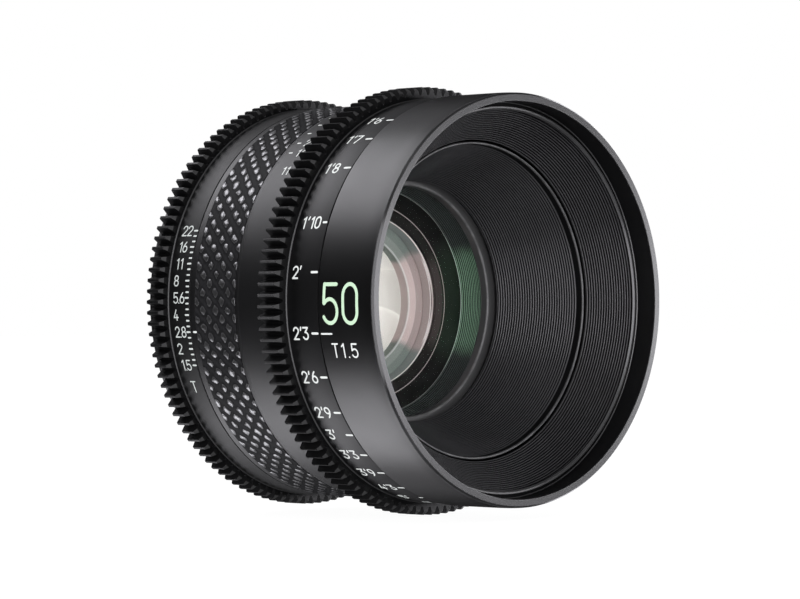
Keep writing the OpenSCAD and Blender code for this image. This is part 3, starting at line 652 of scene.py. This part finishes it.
# ---------------------------------------------------------------- focus ring
# front rebate in the near-black recess material: a painted shadow line; rear flare in the lighter chamfer copy: a
# painted highlight line
loop = rounded([(44.95, 17.75, 0.05), (46.5, 17.75, 0.05), (46.5, 18.12, 0.03), (46.95, 18.22, 0.06), (47.0, 18.4, 0.0), (47.0, 28.16, 0.03), (47.24, 28.4, 0.02), (44.95, 28.4, 0.05)])
place(lathe("focus_scale_band", loop, [MAT_RING, MAT_BLACK_PAINTED_SHADE, MAT_GEAR_EDGE], seg=288, mat_of=lambda a, b: 1 if max(a[1], b[1]) < 18.24 and max(a[0], b[0]) < 46.96 else (2 if min(a[1], b[1]) > 28.14 and min(a[0], b[0]) > 46.9 else 0)), "focus", "focus_scale_ring", slot="black_anodised")
place(gear("focus_teeth", 123, 50.0, 48.0, 28.4, 34.9, 44.95, 0.30, 1.02, MAT_GEAR), "focus", "focus_gear", slot="black_anodised")

# ---------------------------------------------------------------- middle: smooth band, woven sleeve, lip
loop = rounded([
    (43.6, 35.2, 0.05), (46.6, 35.2, 0.25), (46.6, 45.05, 0.4), (46.36, 46.4, 0.04), (45.45, 46.4, 0.0), (45.45, 60.2, 0.0),
    (46.4, 60.2, 0.15), (46.4, 62.1, 0.15), (43.4, 62.1, 0.05), (43.4, 61.4, 0.05), (41.2, 61.4, 0.05), (41.2, 57.5, 0.05), (43.6, 57.5, 0.05)])
place(lathe("barrel_middle", loop, [MAT_BAND], seg=288), "body", "middle_barrel", slot="black_anodised")
loop = rounded([(45.45, 46.4, 0.03), (46.5, 46.4, 0.12), (46.5, 60.2, 0.12), (45.45, 60.2, 0.03)])
place(lathe("woven_sleeve", loop, [MAT_CARBON], seg=288), "body", "carbon_sleeve", slot="carbon_weave")

# ---------------------------------------------------------------- aperture ring and rear ring
# rear flare in the lighter chamfer copy: a painted highlight line
loop = rounded([(43.45, 62.4, 0.05), (46.35, 62.4, 0.15), (46.35, 69.46, 0.03), (46.59, 69.7, 0.02), (45.0, 69.7, 0.03), (45.0, 74.7, 0.03), (43.45, 74.7, 0.03)])
place(lathe("aperture_scale_band", loop, [MAT_RING_REAR, MAT_GEAR_EDGE], seg=288, mat_of=lambda a, b: 1 if min(a[1], b[1]) > 69.44 and max(a[1], b[1]) < 69.71 and min(a[0], b[0]) > 46.3 else 0), "aperture_ring", "iris_ring", slot="black_anodised")
place(gear("aperture_teeth", 120, 48.8, 46.8, 69.7, 74.7, 45.0, 0.30, 1.02, MAT_GEAR), "aperture_ring", "iris_gear", slot="black_anodised")


# ---------------------------------------------------------------- glass
def sag(s, R, r):
    return s + R - math.copysign(math.sqrt(R * R - r * r), R)


def lens(name, s1, R1, s2, R2, rad, mat, body, node, flat1=None, flat2=None, rings=26, edge_mat=None):
    """Ground and polished element: two spheres, fine bevels and a ground edge."""
    front, rear = [], []
    for i in range(rings + 1):
        r = rad * i / rings
        if i == rings:
            r = rad - 0.12
        a, b = sag(s1, R1, r), sag(s2, R2, r)
        if flat1 is not None:
            a = max(a, flat1)
        if flat2 is not None:
            b = min(b, flat2)
        front.append((r, a, 0.0))
        rear.append((r, b, 0.0))
    a, b = front[-1][1], rear[-1][1]
    loop = front + [(rad, a + 0.15, 0.0), (rad, b - 0.15, 0.0)] + rear[::-1]
    # ground edges take the near-black material, the real blackening of lens edges
    mats = [mat, edge_mat or MAT_BLACK_PAINTED_SHADE]
    pick = lambda p, q: 1 if min(p[0], q[0]) > rad - 0.13 else 0
    place(lathe(name, loop, mats, seg=160, mat_of=pick), body, node, slot="optical_glass")


lens("glass_1", 35.9, 95, 43.0, 400, 29.6, MAT_GLASS_1, "optics", "lens_1")
lens("glass_2", 44.7, 60, 51.8, 200, 25.2, MAT_GLASS_2, "optics", "lens_2")
lens("glass_3", 51.82, 200, 53.5, 48, 25.2, MAT_GLASS_3, "optics", "lens_3", flat2=56.62)
lens("glass_4", 70.8, -34, 72.3, 75, 17.55, MAT_GLASS_2, "optics", "lens_4", flat1=67.0)
lens("glass_5", 72.32, 75, 80.3, -42, 17.55, MAT_GLASS_3, "optics", "lens_5")
lens("glass_6", 80.9, 110, 87.9, -48, 18.55, MAT_GLASS_1, "optics", "lens_6")
lens("glass_7", 91.0, -60, 93.2, 300, 18.55, MAT_GLASS_2, "optics", "lens_7", flat2=93.5)

# ---------------------------------------------------------------- finishes of the other pieces
FINISH = {
    MAT_PLATE: "iris_housing",
    MAT_CELL: "front_cell",
    MAT_MATTE: "focus_carriage lens_spacer_rear rear_retainer rear_cell guide_barrel focus_cam_sleeve",
    MAT_BARREL: "rear_barrel rear_cap_ring",
    MAT_RING: "focus_ring",
    MAT_BRASS: "cam_followers iris_drive_pin mount_shim",
    MAT_MOUNT: "lens_mount",
    MAT_ALU: "iris_cam_ring",
    MAT_STEEL: "front_barrel_screws barrel_screws rear_cap_screws mount_screws focus_stop_screw iris_stop_screw focus_drive_screws front_cell_screws iris_housing_screws rear_cell_screws",
}
for k in range(3):
    FINISH[MAT_BLADES[k]] = " ".join("iris_blade_%02d" % i for i in range(1, 12) if i % 3 == k)
for mt, names in FINISH.items():
    for nm in names.split():
        o = nodes[nm]
        o.data.materials.clear()
        o.data.materials.append(mt)

# ---------------------------------------------------------------- markings: own single-stroke numerals
W = 0.58


def arc(cx, cy, rx, ry, a0, a1, n=18):
    return [(cx + rx * math.cos(math.radians(a0 + (a1 - a0) * i / n)), cy + ry * math.sin(math.radians(a0 + (a1 - a0) * i / n))) for i in range(n + 1)]


GLYPH = {
    "0": (W, [arc(W / 2, 0.70, W / 2, 0.30, 0, 180) + arc(W / 2, 0.30, W / 2, 0.30, 180, 360) + [(W, 0.70)], ], True),
    "1": (0.40, [[(0.11, 0.82), (0.32, 1.0)], [(0.32, 1.0), (0.32, 0.0)]], False),
    "2": (W, [arc(W / 2, 0.72, W / 2, 0.28, 172, -28) + [(0.03, 0.02)], [(0.0, 0.0), (W, 0.0)]], False),
    "3": (W, [[(0.02, 1.0), (W - 0.02, 1.0)], [(W - 0.02, 1.0), (W * 0.46, 0.60)], arc(W * 0.47, 0.30, W * 0.53, 0.30, 95, -155)], False),
    "4": (W, [[(W * 0.52, 1.0), (0.0, 0.26)], [(0.0, 0.26), (W, 0.26)], [(W * 0.70, 0.52), (W * 0.70, 0.0)]], False),
    "5": (W, [[(W * 0.93, 1.0), (0.05, 1.0)], [(0.05, 1.0), (0.03, 0.52)], arc(W * 0.48, 0.31, W * 0.52, 0.31, 138, -150)], False),
    "6": (W, [arc(W / 2, 0.30, W / 2, 0.30, 0, 360), [(0.01, 0.36), (0.10, 0.62), (0.24, 0.84), (0.38, 1.0)]], False),
    "7": (W, [[(0.0, 1.0), (W, 1.0)], [(W, 1.0), (W * 0.32, 0.0)]], False),
    "8": (W, [arc(W / 2, 0.755, W * 0.43, 0.245, 0, 360), arc(W / 2, 0.265, W / 2, 0.265, 0, 360)], False),
    "9": (W, [arc(W / 2, 0.70, W / 2, 0.30, 0, 360), [(W - 0.01, 0.64), (W - 0.10, 0.38), (W - 0.24, 0.16), (W - 0.38, 0.0)]], False),
    "'": (0.14, [[(0.11, 1.02), (0.05, 0.80)]], False),
    ".": (0.10, [[(0.05, 0.0), (0.051, 0.0)]], False),
    "T": (W * 0.95, [[(0.0, 1.0), (W * 0.95, 1.0)], [(W * 0.475, 1.0), (W * 0.475, 0.0)]], False),
    "-": (0.5, [[(0.0, 0.5), (0.5, 0.5)]], False),
    "o": (0.9, [arc(0.22, 0.5, 0.22, 0.22, 0, 360), arc(0.66, 0.5, 0.22, 0.22, 180, 540)], False),
}
SECTION = ((-1.0, -0.035), (-0.90, 0.010), (-0.55, 0.017), (0.0, 0.019), (0.55, 0.017), (0.90, 0.010), (1.0, -0.035))


class Marks:
    """Filled markings as thin raised strokes, wrapped on a cylinder of radius r."""

    def __init__(self, name, r, mat):
        self.name, self.r, self.mat = name, r, mat
        self.v, self.f = [], []

    def stroke(self, pts, hw, s0, deg0):
        # pts in mm, x towards the front, y up round the ring
        clean = [pts[0]]
        for p in pts[1:]:
            q = clean[-1]
            d = math.hypot(p[0] - q[0], p[1] - q[1])
            if d > 1e-4:
                k = max(1, math.ceil(d / 0.35))
                clean += [(q[0] + (p[0] - q[0]) * i / k, q[1] + (p[1] - q[1]) * i / k) for i in range(1, k + 1)]
        if len(clean) == 1:
            clean.append((clean[0][0] + 1e-3, clean[0][1]))
        closed = len(clean) > 6 and math.hypot(clean[0][0] - clean[-1][0], clean[0][1] - clean[-1][1]) < 0.02
        if closed:
            clean = clean[:-1]
        secs = []
        n = len(clean)
        for i, p in enumerate(clean):
            a = clean[i - 1] if (i > 0 or closed) else p
            b = clean[(i + 1) % n] if (i < n - 1 or closed) else p
            tx, ty = b[0] - a[0], b[1] - a[1]
            ln = math.hypot(tx, ty) or 1.0
            secs.append((p[0], p[1], tx / ln, ty / ln, hw))
        if not closed:
            x, y, tx, ty, _ = secs[0]
            secs = [(x - tx * hw * math.sin(q), y - ty * hw * math.sin(q), tx, ty, hw * math.cos(q)) for q in (1.45, 1.15, 0.8, 0.4)] + secs
            x, y, tx, ty, _ = secs[-1]
            secs += [(x + tx * hw * math.sin(q), y + ty * hw * math.sin(q), tx, ty, hw * math.cos(q)) for q in (0.4, 0.8, 1.15, 1.45)]
        base, k = len(self.v), len(SECTION)
        for (x, y, tx, ty, w) in secs:
            for (o, h) in SECTION:
                px, py = x - ty * o * w, y + tx * o * w
                self.v.append(at(self.r + h, s0 - px, deg0 - math.degrees(py / self.r)))
        m_ = len(secs)
        for i in range(m_ if closed else m_ - 1):
            a, b = base + i * k, base + ((i + 1) % m_) * k
            for j in range(k):
                j2 = (j + 1) % k
                self.f.append((a + j, a + j2, b + j2, b + j))
        if not closed:
            self.f.append(tuple(base + j for j in range(k))[::-1])
            self.f.append(tuple(base + (m_ - 1) * k + j for j in range(k)))

    def text(self, txt, s_left, deg, height, weight, gap=0.16, width=1.0, centre=False):
        x = 0.0
        total = sum(GLYPH[c][0] * width + gap for c in txt) - gap
        if centre:
            x = -total / 2
        for c in txt:
            wd, strokes, _ = GLYPH[c]
            for st in strokes:
                self.stroke([((x + px * width) * height, (py - 0.5) * height) for (px, py) in st], weight / 2, s_left, deg)
            x += wd * width + gap
        return x * height

    def dash(self, s_a, s_b, deg, weight):
        hw = weight / 2
        self.stroke([(-(s_a - s_a) + hw, 0.0), ((s_a - s_b) - hw, 0.0)], hw, s_a, deg)

    def build(self, body):
        o = finish_mesh(self.name, self.v, self.f, [0.0] * len(self.v), [self.mat])
        return place(o, body)


fm = Marks("focus_scale_marks", 47.0, MAT_WHITE)
for txt, deg in (("1'6", 119.0), ("1'7", 128.8), ("1'8", 140.45), ("1'10", 158.1), ("2'", 172.2), ("2'3", 188.95), ("2'6", 201.4), ("2'9", 212.35), ("3'", 220.05), ("3'3", 227.9), ("3'9", 236.25), ("4'3", 245.2), ("5'", 254.0), ("6'", 263.0), ("8'", 275.0), ("12'", 287.0), ("20'", 297.0), ("o", 308.0)):
    fm.text(txt, 26.5, deg, 2.62, 0.44, gap=0.23)
    fm.dash(19.9 if txt == "1'10" else 20.75, 18.42, deg, 0.56)
fm.build("focus")

tm = Marks("aperture_scale_marks", 46.35, MAT_WHITE_REAR)
stops = [("22", 159.14), ("16", 164.06), ("11", 169.0), ("8", 173.95), ("5.6", 178.88), ("4", 183.8), ("2.8", 188.72), ("2", 193.65), ("1.5", 198.55)]
for i, (txt, deg) in enumerate(stops):
    tm.text(txt, 67.75, deg, 2.35, 0.33, gap=0.13 if "." in txt else 0.20)
    tm.dash(63.95, 62.5, deg, 0.44)
    if i < len(stops) - 1:
        nx = stops[i + 1][1]
        tm.dash(63.65, 62.5, deg + (nx - deg) / 3, 0.42)
        tm.dash(63.65, 62.5, deg + (nx - deg) * 2 / 3, 0.42)
tm.text("T", 66.4, 205.3, 2.7, 0.34)
tm.build("aperture_ring")

bm_ = Marks("barrel_marks", 47.5, MAT_WHITE)
bm_.dash(17.1, 13.4, 188.95, 0.42)
bm_.text("T1.5", 13.95, 193.5, 3.0, 0.41, gap=0.32)
bm_.build("body")
gm = Marks("barrel_number", 47.5, MAT_GREEN)
gm.text("50", 15.8, 180.85, 8.65, 0.92, gap=0.22, width=0.89)
gm.build("body")
wm = Marks("aperture_index", 46.4, MAT_WHITE)
wm.dash(61.5, 60.2, 188.7, 0.5)
wm.build("body")
dm = Marks("depth_marks", 46.6, MAT_WHITE)
for txt, deg, sl in (("11", 140.1, 41.8), ("16", 133.0, 41.1), ("22", 128.4, 41.1)):
    dm.text(txt, sl, deg, 2.2, 0.32, gap=0.22)
for deg in (132.8, 128.4, 123.5, 118.6, 113.9):
    dm.dash(44.0, 42.7, deg, 0.42)
dm.build("body")

# ---------------------------------------------------------------- stage and light
floor_z = -0.0502
me = bpy.data.meshes.new("floor")
me.from_pydata([(-6, -6, floor_z), (6, -6, floor_z), (6, 6, floor_z), (-6, 6, floor_z)], [], [(0, 1, 2, 3)])
floor = bpy.data.objects.new("floor", me)
scene.collection.objects.link(floor)
t = Tree("floor_pale")
sh = t.principled(Base_Color=t.mix(t.remap(t.noise(6.0, 3.0), 0.3, 0.7, 0.0, 1.0), (0.050, 0.050, 0.050), (0.055, 0.055, 0.055)), Roughness=0.9, Specular_IOR_Level=0.0, Emission_Color=(1.0, 1.0, 1.0), Emission_Strength=0.97)
me.materials.append(t.done(sh))
floor.visible_glossy = False
floor.visible_shadow = False

world = bpy.data.worlds.new("studio")
scene.world = world
world.use_nodes = True
bg = world.node_tree.nodes.get("Background")
bg.inputs["Color"].default_value = (1.0, 1.0, 1.0, 1.0)
bg.inputs["Strength"].default_value = 1.0
world.cycles_visibility.glossy = False


def softbox(name, pos, target, w, h, power, color=(0.965, 0.955, 1.0)):
    d = bpy.data.lights.new(name, "AREA")
    d.shape = "RECTANGLE"
    d.size, d.size_y = w, h
    d.energy = power
    d.color = color
    o = bpy.data.objects.new(name, d)
    scene.collection.objects.link(o)
    z = (Vector(pos) - Vector(target)).normalized()
    x = Vector((0, 0, 1)).cross(z).normalized()
    y = z.cross(x)
    mt = Matrix.Identity(4)
    for i in range(3):
        mt[i][0], mt[i][1], mt[i][2] = x[i], y[i], z[i]
    mt.translation = Vector(pos)
    o.matrix_world = mt
    o.visible_camera = False
    return o


centre = (0.0, -0.045, 0.0)
for side, up_ in (("upper", 1.0), ("lower", -1.0)):
    softbox("box_" + side, (-0.18, 0.475, 0.471 * up_), centre, 0.51, 0.34, 2.45 if up_ > 0 else 2.25)
    softbox("box_%s_wide" % side, (-0.015, 0.475, 0.504 * up_), centre, 0.86, 0.34, 0.36)
    softbox("box_near_" + side, (-0.205, -0.47, 0.64 * up_), centre, 0.36, 0.36, 0.25)
softbox("box_front", (0.56, -0.617, 0.0), centre, 0.70, 0.12, 1.6)
softbox("box_side_upper", (0.80, 0.05, 0.30), centre, 0.5, 0.4, 3.0)
softbox("box_side_lower", (0.80, 0.05, -0.30), centre, 0.5, 0.4, 2.2)
softbox("box_rear", (0.42, 0.85, 0.10), centre, 0.5, 0.5, 2.5)
softbox("box_axis", (0.03, -1.05, 0.0), centre, 0.22, 0.22, 1.5)
softbox("box_near", (-0.56, -0.617, 0.0), centre, 0.34, 1.0, 5.2)

scene.view_settings.view_transform = "Standard"
scene.cycles.sample_clamp_indirect = 1.0
scene.cycles.max_bounces = 20
scene.cycles.transmission_bounces = 18
scene.cycles.glossy_bounces = 6
scene.cycles.transparent_max_bounces = 24
